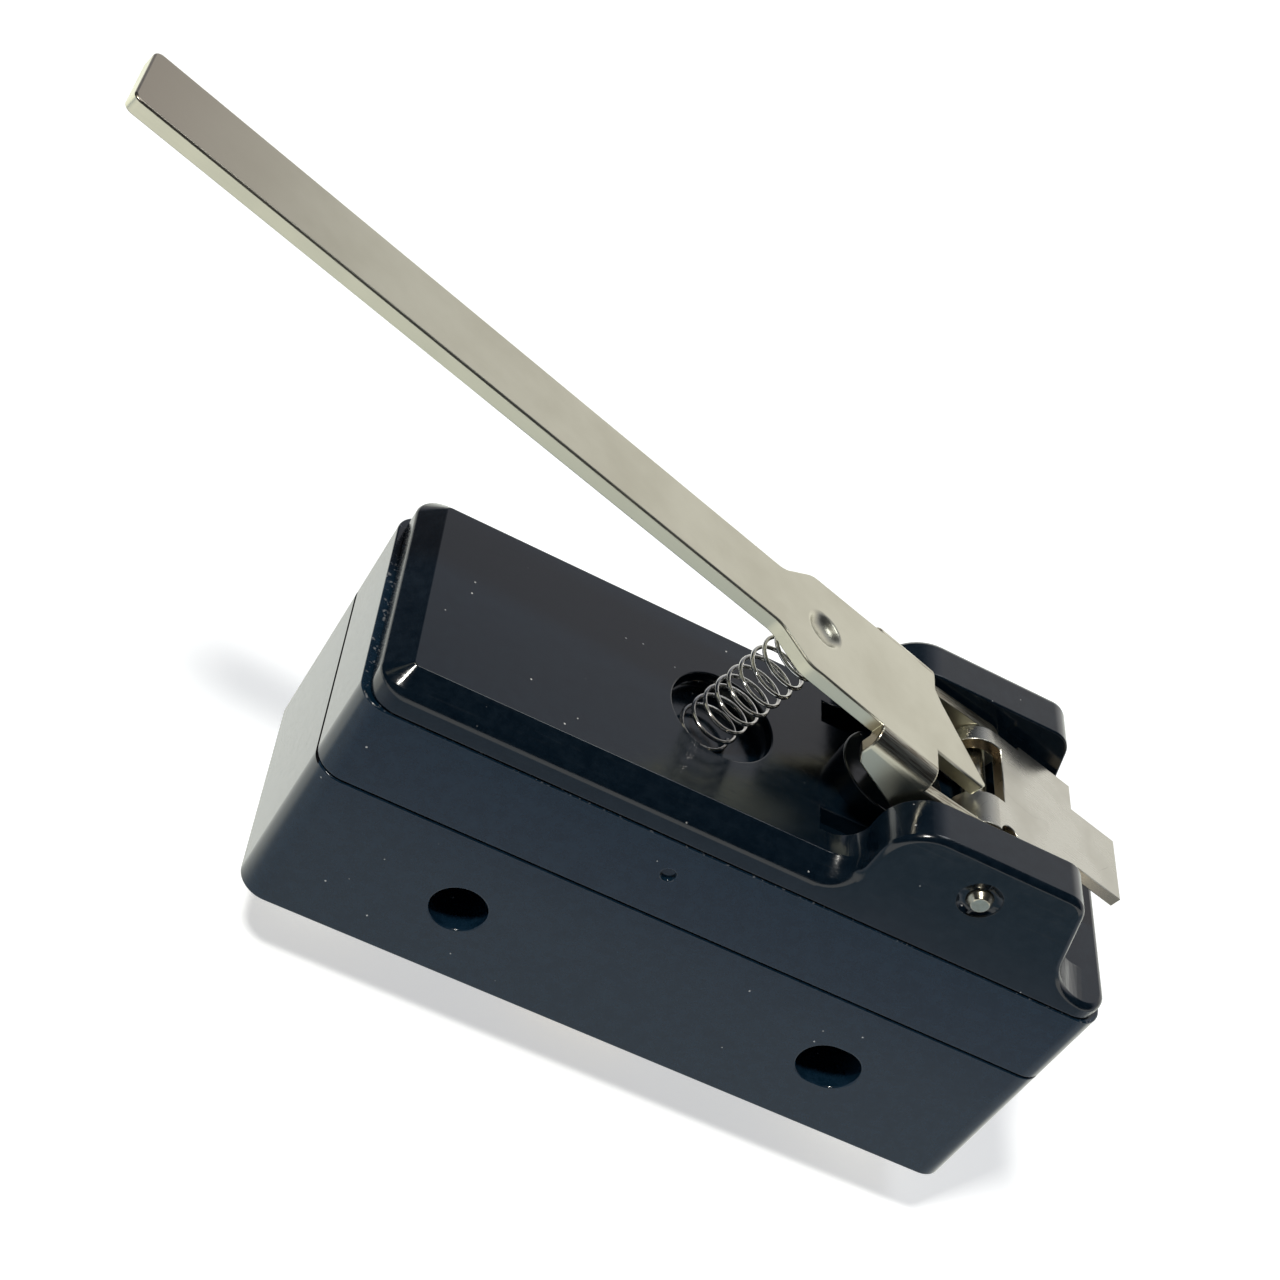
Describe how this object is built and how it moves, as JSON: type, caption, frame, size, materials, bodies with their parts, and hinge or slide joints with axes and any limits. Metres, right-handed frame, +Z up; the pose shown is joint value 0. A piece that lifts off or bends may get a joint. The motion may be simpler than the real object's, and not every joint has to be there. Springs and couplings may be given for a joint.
{
  "type": "snap action switch",
  "caption": "Snap action switch in a dark moulded case with a long hinged metal lever, a coil return spring, a plunger and screw terminals underneath.",
  "frame": {"origin": "on the axis of the round fixing hole, at mid width of the case", "axes": "+X along the case from the round hole to the oval hole, +Y across the case along the fixing holes, +Z up from the terminals to the lever"},
  "size_m": [0.0733, 0.0184, 0.0461],
  "materials": {
    "case_phenolic": "mottled dark grey moulding with satin sides",
    "plunger_phenolic": "dark moulding",
    "lever_steel": "satin nickel plate",
    "leaf_steel": "bright nickel plate with light scratches",
    "pin_steel": "bright",
    "spring_steel": "bright wire",
    "rivet_steel": "plated",
    "screw_steel": "nickel plated",
    "terminal_brass": "satin",
    "blade_copper": "bright spring alloy",
    "contact_silver": "bright"
  },
  "bodies": {
    "case": {"base_case": "case_phenolic", "case_cover": "case_phenolic", "lever_housing": "case_phenolic", "case_rivets": "rivet_steel", "hinge_pin": "pin_steel", "return_spring": "spring_steel", "blade_rivet": "terminal_brass", "bow_anvil": "terminal_brass", "common_terminal": "terminal_brass", "normally_open_terminal": "terminal_brass", "normally_closed_terminal": "terminal_brass", "normally_open_contact": "contact_silver", "normally_closed_contact": "contact_silver", "terminal_screws": "screw_steel", "cup_washers": "terminal_brass"},
    "lever_arm": {"lever": "lever_steel", "tail_leaf": "leaf_steel"},
    "push_rod": {"plunger": "plunger_phenolic"},
    "blade": {"snap_blade": "blade_copper", "moving_contact": "contact_silver"}
  },
  "joints": [
    {"name": "lever_hinge", "type": "hinge", "parent": "case", "child": "lever_arm", "pos_m": [0.02505, 0, 0.017], "axis": [0, -1, 0], "range_deg": [0, 8], "stiffness_Nm_per_rad": 0.06, "springref_deg": -17.19, "deforming": ["return_spring"]},
    {"name": "plunger_slide", "type": "slide", "parent": "case", "child": "push_rod", "axis": [0, 0, -1], "range_m": [0, 0.00073]},
    {"name": "blade_rock", "type": "hinge", "parent": "case", "child": "blade", "pos_m": [-0.0043, 0, 0.0048], "axis": [0, 1, 0], "range_deg": [0, 1.26]}
  ],
  "couplings": [
    {"joint": "plunger_slide", "follows": "lever_hinge", "m_per_rad": 0.0051},
    {"joint": "blade_rock", "follows": "lever_hinge", "ratio": 0.1556}
  ]
}
